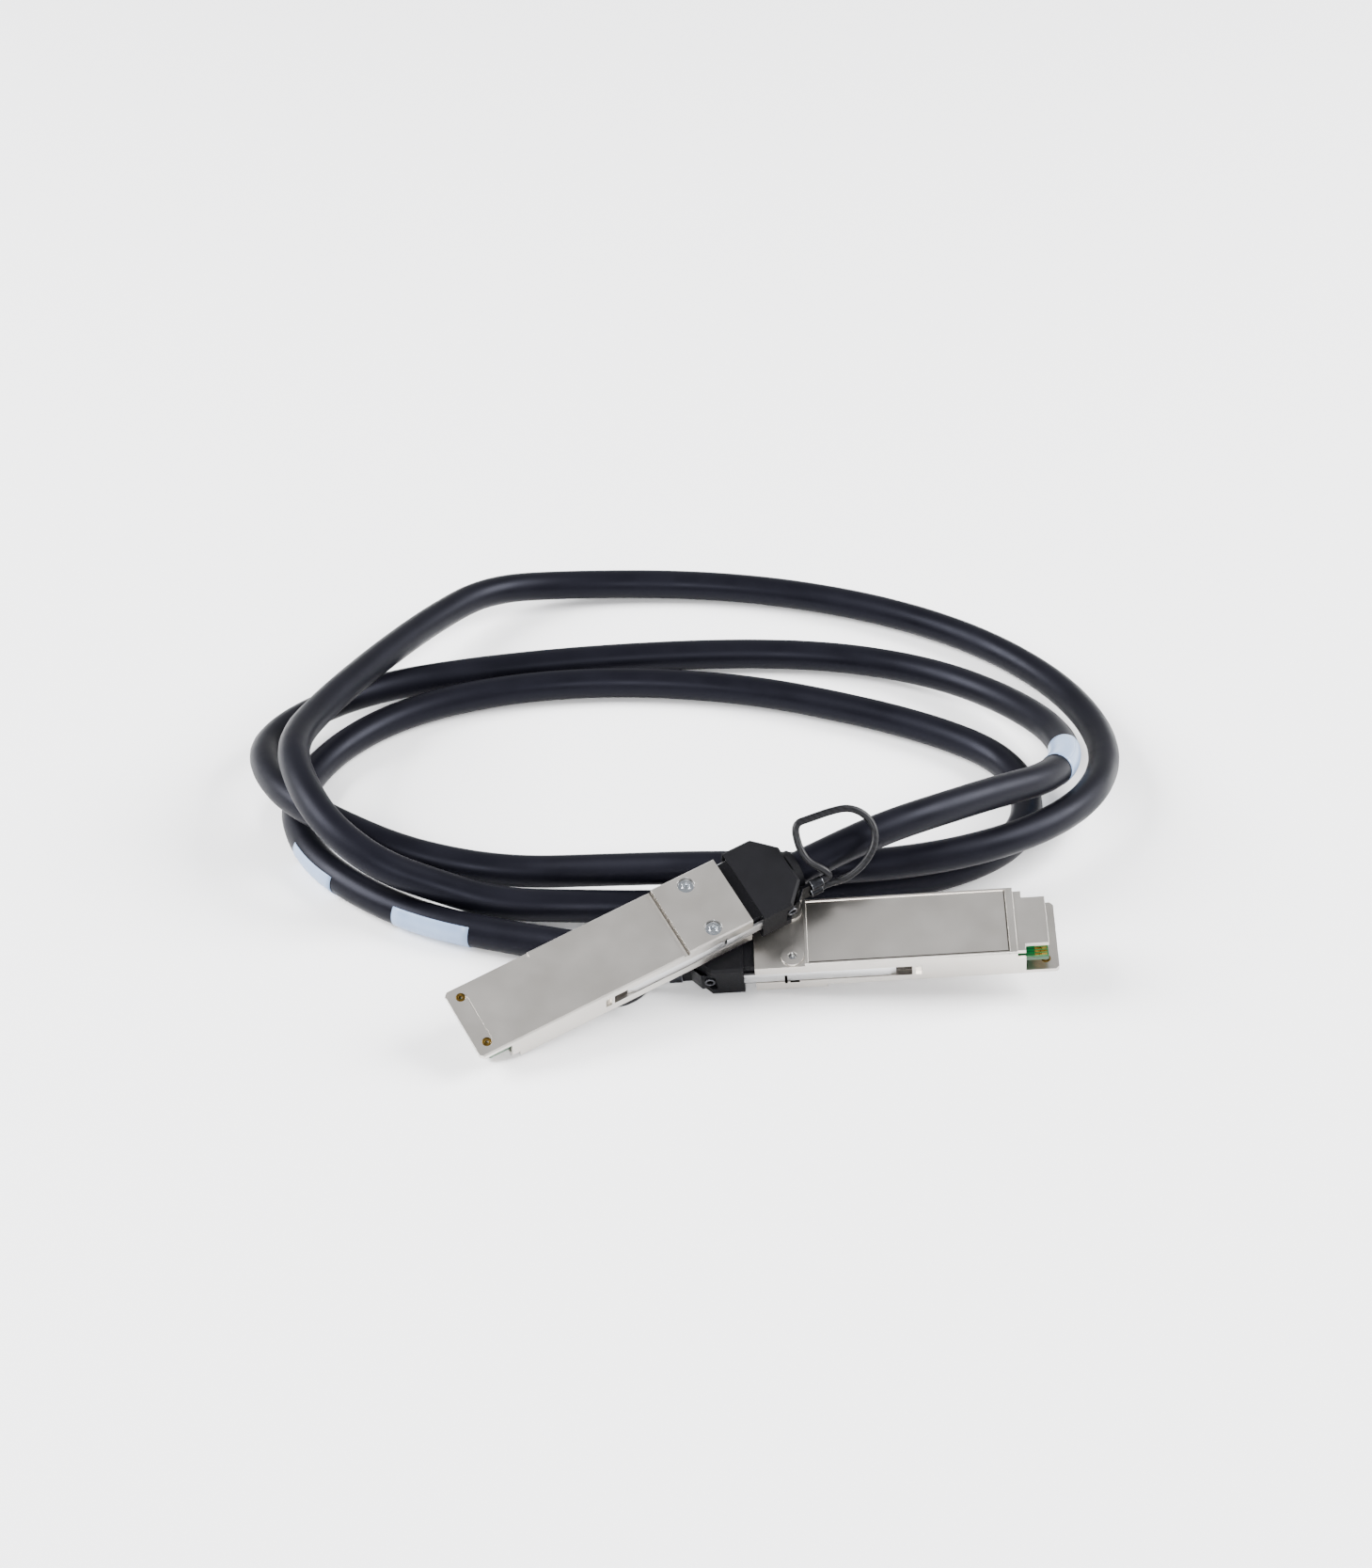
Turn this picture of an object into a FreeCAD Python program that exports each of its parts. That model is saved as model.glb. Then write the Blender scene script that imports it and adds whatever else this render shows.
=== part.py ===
import FreeCAD, Part
import Sketcher
import math
import os
import re

# External storage cable: two identical four-lane plugs joined by a loosely coiled round cable.
# Each plug is modelled in its own frame: x runs to the nose from the rear face of the metal shell,
# y runs across, and z rises to the side that holds the screws.

os.makedirs("parts", exist_ok=True)
doc = FreeCAD.newDocument("ExternalCable")
sheet = doc.addObject("Spreadsheet::Sheet", "Sizes")

# Driving dimensions, in millimetres and degrees.
SIZES = {
    # Metal shell
    "shell_width": 18.35,
    "shell_height": 8.5,
    "shell_length": 69.0,
    "lid_depth": 2.25,
    "skin": 1.2,
    "side_wall": 2.025,
    "nose_wall": 0.825,
    "cavity_start": 13.0,
    "cavity_end": 57.5,
    "wire_slot_width": 8.4,
    "lid_length": 59.5,
    "window_start": 61.4,
    "lip_length": 66.7,
    "lip_inset": 1.0,
    "lip_drop": 0.5,
    "notch_width": 2.8,
    "tongue_thickness": 1.4,
    "tongue_chamfer": 0.8,
    "rail_length": 21.0,
    "rail_width": 1.5,
    "rail_depth": 0.7,
    "block_length": 16.3,
    "block_height": 0.9,
    "block_groove": 1.4,
    "groove_depth": 0.4,
    "panel_start": 11.5,
    "panel_end": 57.8,
    "panel_border": 0.7,
    "panel_depth": 0.25,
    "ear_drop": 0.5,
    "slot_start": 6.6,
    "slot_width": 0.6,
    "slot_low": 0.3,
    "slot_height": 2.9,
    "slit_start": 7.8,
    "slit_end": 10.0,
    "slit_low": 1.9,
    "slit_height": 0.5,
    "edge_break": 0.35,
    # Shell screws and nose eyelets
    "screw_setback": 8.7,
    "fixing_inset": 2.925,
    "screw_head_radius": 1.9,
    "screw_head_height": 1.1,
    "screw_shank_radius": 0.95,
    "screw_recess": 1.8,
    "screw_boss_radius": 2.6,
    "eyelet_setback": 2.9,
    "eyelet_radius": 1.1,
    "eyelet_bore": 0.7,
    "nose_line": 0.3,
    "nose_line_depth": 0.25,
    "hole_fit": 0.1,
    # Card, contacts and wires
    "card_thickness": 1.0,
    "card_start": 20.0,
    "card_end": 66.6,
    "card_head_start": 58.4,
    "card_side_gap": 0.25,
    "contact_count": 19,
    "contact_margin": 0.9,
    "contact_width": 0.5,
    "contact_length": 2.8,
    "contact_height": 0.06,
    "contact_setback": 0.3,
    "wire_radius": 0.75,
    "wire_inner": 1.0,
    "wire_outer": 2.9,
    "wire_overlap": 3.0,
    # Backshell and ferrule
    "neck_length": 8.3,
    "hood_front": 2.6,
    "neck_relief": 0.2,
    "neck_height": 6.8,
    "hood_overhang": 0.525,
    "hood_rise": 4.95,
    "hood_drop": 4.4,
    "hood_square": 1.7,
    "cheek_end": 8.8,
    "hood_chamfer": 0.6,
    "collar_length": 1.7,
    "collar_radius": 4.9,
    "ferrule_wall": 0.3,
    "ferrule_fit": 0.05,
    # Latch slide, spring and lanyard
    "slide_sheet": 0.7,
    "slide_inset": 0.13,
    "slide_clearance": 0.15,
    "slide_centre": 0.3,
    "slide_arm_height": 3.0,
    "slide_arm_length": 32.0,
    "slide_taper": 2.0,
    "slide_bridge_width": 2.2,
    "slide_rear_gap": 3.2,
    "slide_ear_height": 4.4,
    "slide_ear_start": 6.5,
    "slide_ear_end": 12.0,
    "tab_overlap": 0.5,
    "tab_inset": 2.745,
    "tab_rear": 16.8,
    "pocket_length": 3.6,
    "pocket_depth": 0.5,
    "pocket_rib": 0.7,
    "keeper_length": 1.5,
    "rivet_setback": 10.4,
    "rivet_radius": 0.75,
    "rivet_head_radius": 1.2,
    "rivet_head_height": 0.45,
    "spring_sheet": 0.25,
    "spring_span": 12.0,
    "spring_height": 0.8,
    "lanyard_radius": 0.85,
    "lanyard_lead": 2.0,
    "crimp_length": 3.0,
    "crimp_wall": 0.4,
    "crimp_middle": 0.45,
    "crimp_pitch": 2.7,
    # Cable and its wrap labels
    "cable_radius": 3.9,
    "cable_lead": 14.5,
    "label_gap": 0.05,
    "label_film": 0.2,
    # Where the two plugs lie: the rear face of each shell, and its yaw, pitch and roll
    "plug_a_x": 10.55,
    "plug_a_y": -79.1,
    "plug_a_z": 19.7,
    "plug_a_yaw": -152.6,
    "plug_a_pitch": 11.8,
    "plug_a_roll": -23.15,
    "plug_b_x": 15.7,
    "plug_b_y": -80.7,
    "plug_b_z": 8.3,
    "plug_b_yaw": -0.8,
    "plug_b_pitch": -4.7,
    "plug_b_roll": 199.5,
    # The middle of the coil, from which the plugs and the cable are placed
    "coil_x": -15.704,
    "coil_y": 91.0,
    "coil_z": 0.224,
}
for row, (name, value) in enumerate(SIZES.items(), start=1):
    sheet.set("A%d" % row, name)
    sheet.set("B%d" % row, str(value))
    sheet.setAlias("B%d" % row, name)
doc.recompute()


def size(name):
    return float(sheet.get(name))


def bound(text):
    """An expression in the sheet's names, written out for setExpression."""
    return re.sub(r"[a-z][a-z_]+", lambda word: "Sizes." + word.group(), text)


# Sketch and feature helpers
def sketch_on(body, plane, start, name):
    """A sketch on one of the body's origin planes, moved along the plane's normal to start."""
    sketch = body.newObject("Sketcher::SketchObject", name)
    base = next(item for item in body.Origin.OriginFeatures if item.Role == plane)
    sketch.AttachmentSupport = (base, [""])
    sketch.MapMode = "FlatFace"
    sketch.setExpression(".AttachmentOffset.Base.z", bound(start))
    return sketch


def pin_point(sketch, geometry, point, u, v):
    """Holds one point of the sketch at (u, v), each an expression."""
    for kind, text in (("DistanceX", u), ("DistanceY", v)):
        index = sketch.addConstraint(Sketcher.Constraint(kind, -1, 1, geometry, point, 1.0))
        sketch.setExpression("Constraints[%d]" % index, bound(text))


def draw_outline(sketch, corners):
    """A closed outline of straight lines through corners, a list of pairs of expressions."""
    count = len(corners)
    first = sketch.GeometryCount
    ring = [FreeCAD.Vector(math.cos(2 * math.pi * k / count), math.sin(2 * math.pi * k / count), 0)
            for k in range(count)]
    for k in range(count):
        sketch.addGeometry(Part.LineSegment(ring[k], ring[(k + 1) % count]))
    for k in range(count):
        sketch.addConstraint(Sketcher.Constraint("Coincident", first + k, 2, first + (k + 1) % count, 1))
    for k, (u, v) in enumerate(corners):
        pin_point(sketch, first + k, 1, u, v)


def draw_box(sketch, u0, u1, v0, v1):
    draw_outline(sketch, [(u0, v0), (u1, v0), (u1, v1), (u0, v1)])


def draw_circle(sketch, u, v, radius):
    circle = sketch.addGeometry(Part.Circle(FreeCAD.Vector(0, 0, 0), FreeCAD.Vector(0, 0, 1), 1.0))
    pin_point(sketch, circle, 3, u, v)
    index = sketch.addConstraint(Sketcher.Constraint("Radius", circle, 1.0))
    sketch.setExpression("Constraints[%d]" % index, bound(radius))


def pad(body, sketch, length):
    feature = body.newObject("PartDesign::Pad", sketch.Name + "Pad")
    feature.Profile = sketch
    feature.setExpression("Length", bound(length))
    return feature


def pocket(body, sketch, length):
    """A pocket from the sketch along its plane's normal, checked to have taken something away."""
    doc.recompute()
    before = body.Shape.Volume
    feature = body.newObject("PartDesign::Pocket", sketch.Name + "Pocket")
    feature.Profile = sketch
    feature.Reversed = True
    feature.setExpression("Length", bound(length))
    doc.recompute()
    if body.Shape.Volume >= before:
        raise ValueError("a pocket cut nothing: " + sketch.Name)
    return feature


def bevel(body, chosen, amount):
    """Chamfers the edges of the body's last feature that the function chosen picks."""
    doc.recompute()
    last = body.Tip
    names = ["Edge%d" % k for k, edge in enumerate(last.Shape.Edges, start=1) if chosen(edge)]
    feature = body.newObject("PartDesign::Chamfer", body.Name + "Bevel")
    feature.Base = (last, names)
    feature.setExpression("Size", bound(amount))
    doc.recompute()
    return feature


# Expressions that several pieces share
HALF = "shell_width / 2"
TOP = "shell_height / 2"
PARTING = "lid_depth - shell_height / 2"
ROOF = "shell_height / 2 - tongue_thickness"
SLOT = "wire_slot_width / 2"
CAVITY = "(shell_width / 2 - side_wall)"
NOSE = "(shell_width / 2 - nose_wall)"
CARD_HEAD = "(shell_width / 2 - nose_wall - card_side_gap)"
ARM_OUT = "(shell_width / 2 - slide_inset)"
ARM_IN = "(shell_width / 2 - slide_inset - slide_sheet)"
GROOVE = "(shell_width / 2 - slide_inset - slide_sheet - slide_clearance)"
TAB_ACROSS = "(shell_width / 2 - slide_inset - tab_inset)"
HOOD_HALF = "(shell_width / 2 + hood_overhang)"
CHEEK = "(shell_width / 2 - slide_inset + slide_clearance)"
HOOD_REAR = "(neck_length + hood_square + shell_width / 2 + hood_overhang - collar_radius)"
REAR = "(%s + collar_length)" % HOOD_REAR
BRIDGE_REAR = "(slide_rear_gap + slide_bridge_width)"
BRIDGE_FLOOR = "(neck_height / 2 + 2 * slide_clearance)"
BRIDGE_ROOF = "(neck_height / 2 + 3 * slide_clearance + slide_sheet)"
FIXING = "(shell_width / 2 - fixing_inset)"
SIDES = (1, -1)


def new_body(tag, name):
    body = doc.addObject("PartDesign::Body", "Plug%s_%s" % (tag, name))
    body.Label = "plug_%s_%s" % (tag, name)
    return body


def group(tag, name, solids):
    """One node made of separate solids."""
    whole = doc.addObject("Part::Compound", "Plug%s_%s" % (tag, name))
    whole.Label = "plug_%s_%s" % (tag, name)
    whole.Links = solids
    return whole


def cylinder(radius, length, x, y, z, axis):
    """A Part cylinder of expression sizes from (x, y, z) along the plug's x, y or z axis."""
    turns = {"x": FreeCAD.Rotation(FreeCAD.Vector(0, 1, 0), 90),
             "y": FreeCAD.Rotation(FreeCAD.Vector(1, 0, 0), -90),
             "z": FreeCAD.Rotation()}
    item = doc.addObject("Part::Cylinder", "Rod")
    item.Placement = FreeCAD.Placement(FreeCAD.Vector(), turns[axis])
    item.setExpression("Radius", bound(radius))
    item.setExpression("Height", bound(length))
    for name, text in (("x", x), ("y", y), ("z", z)):
        item.setExpression("Placement.Base." + name, bound(text))
    return item


def tube(outer, inner, length, x, y, z, axis):
    item = doc.addObject("Part::Cut", "Tube")
    item.Base = cylinder(outer, length, x, y, z, axis)
    item.Tool = cylinder(inner, length, x, y, z, axis)
    return item


def fused(pieces):
    item = doc.addObject("Part::MultiFuse", "Joined")
    item.Shapes = pieces
    return item


def stepped(half_widths, ends):
    """A symmetrical outline about the x axis: each half width runs from one end to the next."""
    upper = []
    for k, half in enumerate(half_widths):
        upper += [(ends[k], half), (ends[k + 1], half)]
    return upper + [(x, "-(%s)" % half) for x, half in reversed(upper)]


def along_x(edge, heights):
    """Whether a straight edge runs along x at one of the given heights."""
    ends = [vertex.Point for vertex in edge.Vertexes]
    if len(ends) != 2:
        return False
    level = any(abs(ends[0].z - height) < 1e-4 for height in heights)
    return level and abs(ends[0].z - ends[1].z) < 1e-4 and abs(ends[0].y - ends[1].y) < 1e-4


# Die-cast base shell: a tub open towards the lid, with the nose tongue and the raised screw block.
def base_shell(tag):
    body = new_body(tag, "base_shell")
    tub = sketch_on(body, "XY_Plane", PARTING, "Tub" + tag)
    draw_box(tub, "0", "window_start", "-" + HALF, HALF)
    pad(body, tub, "shell_height - lid_depth")
    tongue = sketch_on(body, "XY_Plane", ROOF, "Tongue" + tag)
    front = "shell_length - tongue_chamfer"
    cheek = "shell_width / 2 - tongue_chamfer"
    draw_outline(tongue, [("cavity_end", "-" + HALF), (front, "-" + HALF), ("shell_length", "-(%s)" % cheek),
                          ("shell_length", cheek), (front, HALF), ("cavity_end", HALF)])
    pad(body, tongue, "tongue_thickness")
    block = sketch_on(body, "XY_Plane", TOP, "Block" + tag)
    draw_box(block, "0", "block_length", "-" + HALF, HALF)
    pad(body, block, "block_height")
    heights = (size("shell_height") / 2, size("shell_height") / 2 + size("block_height"))
    bevel(body, lambda edge: along_x(edge, heights), "edge_break")

    cavity = sketch_on(body, "XY_Plane", PARTING, "Cavity" + tag)
    draw_outline(cavity, stepped([SLOT, CAVITY, NOSE], ["0", "cavity_start", "cavity_end", "window_start"]))
    pocket(body, cavity, "shell_height - lid_depth - tongue_thickness")
    low = "slide_centre - slide_arm_height / 2 - slide_clearance"
    high = "slide_arm_height + 2 * slide_clearance"
    stop = "slide_arm_length + pocket_length"
    groove = sketch_on(body, "XY_Plane", low, "Groove" + tag)
    well = sketch_on(body, "XY_Plane", low, "Well" + tag)
    slot = sketch_on(body, "XY_Plane", "-slot_low", "Slot" + tag)
    slit = sketch_on(body, "XY_Plane", "slit_low", "Slit" + tag)
    for side in SIDES:
        outer = "%d * %s" % (side, HALF)
        floor = "%d * %s" % (side, GROOVE)
        draw_box(groove, "0", stop, floor, outer)
        draw_box(groove, stop + " + pocket_rib", stop + " + pocket_rib + keeper_length", floor, outer)
        deep = floor + " - %d * pocket_depth" % side
        draw_box(well, "slide_arm_length", stop, deep, floor)
        draw_box(slot, "slot_start", "slot_start + slot_width", deep, outer)
        draw_box(slit, "slit_start", "slit_end", deep, outer)
    pocket(body, groove, high)
    pocket(body, well, high)
    pocket(body, slot, "slot_height")
    pocket(body, slit, "slit_height")
    # A ledge runs along one edge of the nose only.
    rail = sketch_on(body, "XY_Plane", "shell_height / 2 - rail_depth", "Rail" + tag)
    draw_box(rail, "shell_length - rail_length", "shell_length", "-" + HALF, "rail_width - " + HALF)
    pocket(body, rail, "rail_depth")
    ditch = sketch_on(body, "XY_Plane", "shell_height / 2 - groove_depth", "Ditch" + tag)
    draw_box(ditch, "block_length", "block_length + block_groove", "-" + HALF, HALF)
    pocket(body, ditch, "groove_depth")
    line = sketch_on(body, "XY_Plane", "shell_height / 2 - nose_line_depth", "NoseLine" + tag)
    behind = "shell_length - eyelet_setback - eyelet_radius"
    draw_box(line, behind + " - nose_line", behind, "-" + FIXING, FIXING)
    pocket(body, line, "nose_line_depth")

    recess = sketch_on(body, "XY_Plane", "shell_height / 2 + block_height - screw_recess", "Recess" + tag)
    through = sketch_on(body, "XY_Plane", PARTING, "Through" + tag)
    eyes = sketch_on(body, "XY_Plane", ROOF, "Eyes" + tag)
    for side in SIDES:
        across = "%d * %s" % (side, FIXING)
        draw_circle(recess, "screw_setback", across, "screw_head_radius + hole_fit")
        draw_circle(through, "screw_setback", across, "screw_shank_radius + hole_fit")
        draw_circle(eyes, "shell_length - eyelet_setback", across, "eyelet_radius")
    pocket(body, recess, "screw_recess")
    pocket(body, through, "shell_height - lid_depth + block_height")
    pocket(body, eyes, "tongue_thickness")
    return body


# Die-cast lid: a flat cover with a sunk panel, two screw bosses at the rear and a notched lip at the nose.
def lid_shell(tag):
    body = new_body(tag, "lid_shell")
    plate = sketch_on(body, "XY_Plane", "-" + TOP, "Plate" + tag)
    draw_box(plate, "0", "lid_length", "-" + HALF, HALF)
    pad(body, plate, "lid_depth")
    face = -size("shell_height") / 2
    bevel(body, lambda edge: along_x(edge, (face,)), "edge_break")
    lip = sketch_on(body, "XY_Plane", "lip_drop - shell_height / 2", "Lip" + tag)
    draw_outline(lip, stepped(["(shell_width / 2 - lip_inset)", "(shell_width / 2 - notch_width)"],
                              ["cavity_end", "window_start", "lip_length"]))
    pad(body, lip, "skin")
    inside = sketch_on(body, "XY_Plane", "lip_drop + skin - shell_height / 2", "Inside" + tag)
    draw_outline(inside, stepped([SLOT, CAVITY, NOSE], ["0", "cavity_start", "cavity_end", "lid_length"]))
    pocket(body, inside, "lid_depth - skin - lip_drop")
    ear = sketch_on(body, "XY_Plane", "-" + TOP, "Ear" + tag)
    draw_box(ear, "0", "panel_start", "-" + HALF, HALF)
    pocket(body, ear, "ear_drop")
    for side in SIDES:
        boss = sketch_on(body, "XY_Plane", "-" + TOP, "Boss%s%d" % (tag, side > 0))
        draw_circle(boss, "screw_setback", "%d * %s" % (side, FIXING), "screw_boss_radius")
        pad(body, boss, "ear_drop")
    panel = sketch_on(body, "XY_Plane", "-" + TOP, "Panel" + tag)
    edge = "shell_width / 2 - panel_border"
    draw_box(panel, "panel_start + panel_border", "panel_end", "-(%s)" % edge, edge)
    pocket(body, panel, "panel_depth")
    holes = sketch_on(body, "XY_Plane", "-" + TOP, "LidHoles" + tag)
    for side in SIDES:
        draw_circle(holes, "screw_setback", "%d * %s" % (side, FIXING), "screw_shank_radius + ferrule_fit")
    pocket(body, holes, "lid_depth")
    return body


# Paddle card: a circuit board with a wide head that carries the edge contacts.
def paddle_card(tag):
    body = new_body(tag, "paddle_card")
    board = sketch_on(body, "XY_Plane", "-card_thickness / 2", "Board" + tag)
    draw_outline(board, stepped([CAVITY + " - card_side_gap", CARD_HEAD],
                                ["card_start", "card_head_start", "card_end"]))
    pad(body, board, "card_thickness")
    return body


def contact_fingers(tag):
    """Gilt edge contacts, one row on each face of the card."""
    fingers = []
    count = int(size("contact_count"))
    pitch = "2 * (%s - contact_margin) / (contact_count - 1)" % CARD_HEAD
    for face in ("card_thickness / 2", "-card_thickness / 2 - contact_height"):
        for k in range(count):
            finger = doc.addObject("Part::Box", "Finger")
            finger.setExpression("Length", bound("contact_length"))
            finger.setExpression("Width", bound("contact_width"))
            finger.setExpression("Height", bound("contact_height"))
            finger.setExpression("Placement.Base.x", bound("card_end - contact_setback - contact_length"))
            step = "(%d - (contact_count - 1) / 2) * %s - contact_width / 2" % (k, pitch)
            finger.setExpression("Placement.Base.y", bound(step))
            finger.setExpression("Placement.Base.z", bound(face))
            fingers.append(finger)
    return group(tag, "contact_fingers", fingers)


def twinax_pairs(tag):
    """Eight wire pairs that run from the cable's end to both faces of the card."""
    wires = []
    for side in SIDES:
        for face in SIDES:
            for place in ("wire_inner", "wire_outer"):
                wires.append(cylinder("wire_radius", REAR + " + card_start + wire_overlap", "-" + REAR,
                                      "%d * %s" % (side, place),
                                      "%d * (card_thickness / 2 + wire_radius)" % face, "x"))
    return group(tag, "twinax_pairs", wires)


def crimp_ferrule(tag):
    """A metal sleeve that holds the cable's shield inside the backshell."""
    sleeve = tube("cable_radius + ferrule_fit + ferrule_wall", "cable_radius + ferrule_fit",
                  REAR + " - neck_length", "-" + REAR, "0", "0", "x")
    sleeve.Label = "plug_%s_crimp_ferrule" % tag
    return sleeve


# Moulded backshell: a hood with shoulders at 45 degrees, a collar for the cable, a neck and ways for the slide.
def backshell(tag):
    body = new_body(tag, "backshell")
    hood = sketch_on(body, "XY_Plane", "-hood_drop", "Hood" + tag)
    shoulder = "-neck_length - hood_square"
    draw_outline(hood, [("-hood_front", "-" + HOOD_HALF), ("-hood_front", HOOD_HALF), (shoulder, HOOD_HALF),
                        ("-" + HOOD_REAR, "collar_radius"), ("-" + HOOD_REAR, "-collar_radius"),
                        (shoulder, "-" + HOOD_HALF)])
    pad(body, hood, "hood_rise + hood_drop")
    levels = (size("hood_rise"), -size("hood_drop"))
    front = -size("hood_front")

    def rim(edge):
        ends = [vertex.Point for vertex in edge.Vertexes]
        flat = any(all(abs(point.z - level) < 1e-4 for point in ends) for level in levels)
        return flat and not all(abs(point.x - front) < 1e-4 for point in ends)

    bevel(body, rim, "hood_chamfer")
    collar = sketch_on(body, "YZ_Plane", "-" + REAR, "Collar" + tag)
    draw_circle(collar, "0", "0", "collar_radius")
    pad(body, collar, "collar_length")
    neck = sketch_on(body, "XY_Plane", "-neck_height / 2", "Neck" + tag)
    side_face = GROOVE + " - neck_relief"
    draw_box(neck, "-neck_length", "0", "-(%s)" % side_face, side_face)
    pad(body, neck, "neck_height")
    bore = sketch_on(body, "YZ_Plane", "-" + REAR, "Bore" + tag)
    draw_circle(bore, "0", "0", "cable_radius + ferrule_wall + 2 * ferrule_fit")
    pocket(body, bore, REAR + " - neck_length")
    wide = "wire_outer + wire_radius + hole_fit"
    tall = "card_thickness / 2 + 2 * wire_radius + hole_fit"
    way = sketch_on(body, "YZ_Plane", "-neck_length", "WireWay" + tag)
    draw_box(way, "-(%s)" % wide, wide, "-(%s)" % tall, tall)
    pocket(body, way, "neck_length")
    low = "slide_centre - slide_ear_height / 2 - slide_clearance"
    channel = sketch_on(body, "XY_Plane", low, "Channel" + tag)
    leg_way = sketch_on(body, "XY_Plane", low, "LegWay" + tag)
    for side in SIDES:
        inner, cheek, outer = ["%d * %s" % (side, text) for text in (GROOVE, CHEEK, HOOD_HALF)]
        draw_outline(channel, [("-" + HOOD_REAR, inner), ("-hood_front", inner), ("-hood_front", cheek),
                               ("-cheek_end", cheek), ("-cheek_end", outer), ("-" + HOOD_REAR, outer)])
        draw_box(leg_way, "-neck_length", "-hood_front", inner, cheek)
    pocket(body, channel, "slide_ear_height + 2 * slide_clearance")
    pocket(body, leg_way, "%s - (%s)" % (BRIDGE_ROOF, low))
    bridge_way = sketch_on(body, "XY_Plane", "neck_height / 2", "BridgeWay" + tag)
    draw_box(bridge_way, "-neck_length", "-hood_front", "-" + CHEEK, CHEEK)
    pocket(body, bridge_way, BRIDGE_ROOF + " - neck_height / 2")
    return body


# Latch slide: one folded sheet, a bridge over the neck with an arm and an ear on each side.
def latch_slide(tag):
    body = new_body(tag, "latch_slide")
    bridge = sketch_on(body, "YZ_Plane", "-" + BRIDGE_REAR, "Bridge" + tag)
    foot = "slide_centre - slide_arm_height / 2"
    roof = BRIDGE_FLOOR + " + slide_sheet"
    draw_outline(bridge, [("-" + ARM_OUT, foot), ("-" + ARM_OUT, roof), (ARM_OUT, roof), (ARM_OUT, foot),
                          (ARM_IN, foot), (ARM_IN, BRIDGE_FLOOR), ("-" + ARM_IN, BRIDGE_FLOOR),
                          ("-" + ARM_IN, foot)])
    pad(body, bridge, "slide_bridge_width")
    for side in SIDES:
        inner = "%d * %s" % (side, ARM_IN)
        outer = "%d * %s" % (side, ARM_OUT)
        arm = sketch_on(body, "XY_Plane", foot, "Arm%s%d" % (tag, side > 0))
        draw_outline(arm, [("-slide_ear_end", inner), ("-slide_ear_end", outer),
                           ("slide_arm_length - slide_taper", outer),
                           ("slide_arm_length", "%d * (%s + slide_sheet / 3)" % (side, ARM_IN)),
                           ("slide_arm_length", inner)])
        pad(body, arm, "slide_arm_height")
        low = "slide_centre - slide_ear_height / 2"
        ear = sketch_on(body, "XY_Plane", low, "SlideEar%s%d" % (tag, side > 0))
        draw_box(ear, "-slide_ear_end", "-slide_ear_start", inner, outer)
        pad(body, ear, "slide_ear_height")
    # A tab on one ear follows the hood's shoulder to the lanyard's crimps.
    tab = sketch_on(body, "XY_Plane", "crimp_middle - crimp_pitch", "Tab" + tag)
    near = "(%s - slide_sheet / 2)" % TAB_ACROSS
    far = "(%s + slide_sheet / 2)" % TAB_ACROSS
    drop = "(%s - %s)" % (ARM_IN, near)
    fold = "(2 ^ 0.5 - 1) * slide_sheet"
    draw_outline(tab, [("tab_overlap - slide_ear_end", ARM_IN), ("-slide_ear_end", ARM_IN),
                       ("-slide_ear_end - " + drop, near), ("-tab_rear", near), ("-tab_rear", far),
                       ("-slide_ear_end - %s - %s" % (drop, fold), far),
                       ("-slide_ear_end - " + fold, ARM_OUT), ("tab_overlap - slide_ear_end", ARM_OUT)])
    pad(body, tab, "2 * crimp_pitch")
    eye = sketch_on(body, "XZ_Plane", "-" + ARM_OUT, "RivetEye" + tag)
    draw_circle(eye, "-rivet_setback", "slide_centre", "rivet_radius + ferrule_fit")
    draw_box(eye, "slot_start", "slot_start + slot_width", "-slot_low",
             "slide_centre + slide_arm_height / 2 + slide_clearance")
    pocket(body, eye, "2 * " + ARM_OUT)
    return body


# Return spring: a bent leaf between the bridge and the hood, which flattens when the slide is pulled.
def return_spring(tag):
    body = new_body(tag, "return_spring")
    leaf = sketch_on(body, "XY_Plane", BRIDGE_FLOOR + " - slide_clearance", "Leaf" + tag)
    crest = "-" + BRIDGE_REAR
    foot = "-neck_length"
    tip = "spring_span / 2"
    flat = "spring_span / 6"
    draw_outline(leaf, [(crest, "-" + flat), (crest, flat), (foot + " + spring_sheet", tip), (foot, tip),
                        (crest + " - spring_sheet", flat + " - spring_sheet"),
                        (crest + " - spring_sheet", "spring_sheet - " + flat), (foot, "-" + tip),
                        (foot + " + spring_sheet", "-" + tip)])
    pad(body, leaf, "spring_height")
    return body


def shell_screws(tag):
    """Two screws that hold the base shell to the lid."""
    screws = []
    seat = "(shell_height / 2 + block_height - screw_recess)"
    tip = "hole_fit - shell_height / 2"
    for side in SIDES:
        across = "%d * %s" % (side, FIXING)
        head = cylinder("screw_head_radius", "screw_head_height", "screw_setback", across, seat, "z")
        shank = cylinder("screw_shank_radius", seat + " - (%s)" % tip, "screw_setback", across, tip, "z")
        screws.append(fused([head, shank]))
    return group(tag, "shell_screws", screws)


def nose_eyelets(tag):
    """Two brass eyelets in the nose tongue."""
    eyelets = []
    for side in SIDES:
        eyelets.append(tube("eyelet_radius - ferrule_fit / 2", "eyelet_bore", "tongue_thickness",
                            "shell_length - eyelet_setback", "%d * %s" % (side, FIXING), ROOF, "z"))
    return group(tag, "nose_eyelets", eyelets)


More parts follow.
